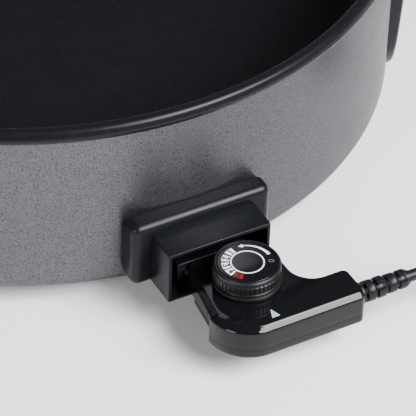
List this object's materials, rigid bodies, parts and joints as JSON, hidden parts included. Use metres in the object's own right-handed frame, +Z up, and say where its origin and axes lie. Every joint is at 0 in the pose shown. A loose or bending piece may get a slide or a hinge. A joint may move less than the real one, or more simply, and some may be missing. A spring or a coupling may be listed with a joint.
{
  "type": "electric griddle",
  "caption": "Deep round electric griddle pan with side handles and a plug-in thermostat control whose corded body slides out of a front connector socket.",
  "frame": {"origin": "centre of the footprint of the pan with its control plugged in, on the surface that it stands on; the free cord is not counted", "axes": "+Z up; the connector socket and the control face -Y; the handles point along +X and -X"},
  "size_m": [0.5634, 0.4912, 0.1142],
  "materials": {
    "shell_paint": "fine speckled metallic grey paint, satin",
    "black_nonstick": "black non-stick coating, matte with a soft sheen",
    "black_bakelite": "moulded black phenolic, satin",
    "gloss_black": "moulded black plastic, high gloss",
    "dial_print": "printed dial disc, satin gloss",
    "marker_blue": "pale blue printed pointer",
    "steel": "plated steel",
    "zinc_plate": "zinc plated sheet",
    "aluminium": "mill finish",
    "brass": "plain",
    "ceramic": "unglazed",
    "rubber": "matte",
    "cord_vinyl": "black vinyl, satin",
    "wire_brown": "insulated lead",
    "wire_blue": "insulated lead"
  },
  "bodies": {
    "pan": {"outer_shell": "shell_paint", "inner_pan": "black_nonstick", "connector_shroud": "black_bakelite", "leg_left": "black_bakelite", "leg_right": "black_bakelite", "handle_left": "black_bakelite", "handle_right": "black_bakelite", "base_stud": "steel", "base_nut": "steel", "heating_element": "steel", "terminal_pin_left": "steel", "terminal_pin_right": "steel", "shroud_screw_left": "steel", "shroud_screw_right": "steel", "handle_screw_left_front": "steel", "handle_screw_left_rear": "steel", "handle_screw_right_front": "steel", "handle_screw_right_rear": "steel", "leg_screw_left": "steel", "leg_screw_right": "steel", "base_plate": "zinc_plate", "shroud_bracket": "zinc_plate", "heat_plate": "aluminium", "probe_well": "aluminium", "terminal_insulator_left": "ceramic", "terminal_insulator_right": "ceramic", "foot_pad_left_front": "rubber", "foot_pad_left_rear": "rubber", "foot_pad_right_front": "rubber", "foot_pad_right_rear": "rubber"},
    "control": {"control_cover": "gloss_black", "control_base": "gloss_black", "case_screw_1": "steel", "case_screw_2": "steel", "case_screw_3": "steel", "dial_marker": "marker_blue", "socket_block": "black_bakelite", "contact_socket_left": "brass", "contact_socket_right": "brass", "sensor_probe": "steel", "thermostat_frame": "zinc_plate", "fixed_contact": "brass", "contact_spring": "brass", "cord_clamp": "black_bakelite", "clamp_screw_1": "steel", "clamp_screw_2": "steel", "lead_live": "wire_brown", "lead_neutral": "wire_blue", "strain_relief": "cord_vinyl", "power_cord": "cord_vinyl", "cord_coil": "cord_vinyl", "plug_cord": "cord_vinyl", "plug_sleeve": "cord_vinyl", "plug_body": "cord_vinyl", "plug_pin_left": "steel", "plug_pin_right": "steel"},
    "knob": {"knob_grip": "gloss_black", "knob_cap": "dial_print", "knob_spindle": "steel"},
    "push_pin": {"push_pin": "ceramic"}
  },
  "joints": [
    {"name": "control_plug", "type": "slide", "parent": "pan", "child": "control", "axis": [0, -1, 0], "range_m": [0, 0.12]},
    {"name": "knob_turn", "type": "hinge", "parent": "control", "child": "knob", "pos_m": [0.0052, -0.2098, 0.04], "axis": [0, 0, 1], "range_deg": [-307, 0]},
    {"name": "pin_travel", "type": "slide", "parent": "control", "child": "push_pin", "axis": [0, 0, -1], "range_m": [0, 0.0013]}
  ],
  "couplings": [
    {"joint": "pin_travel", "follows": "knob_turn", "m_per_rad": -0.00022}
  ]
}
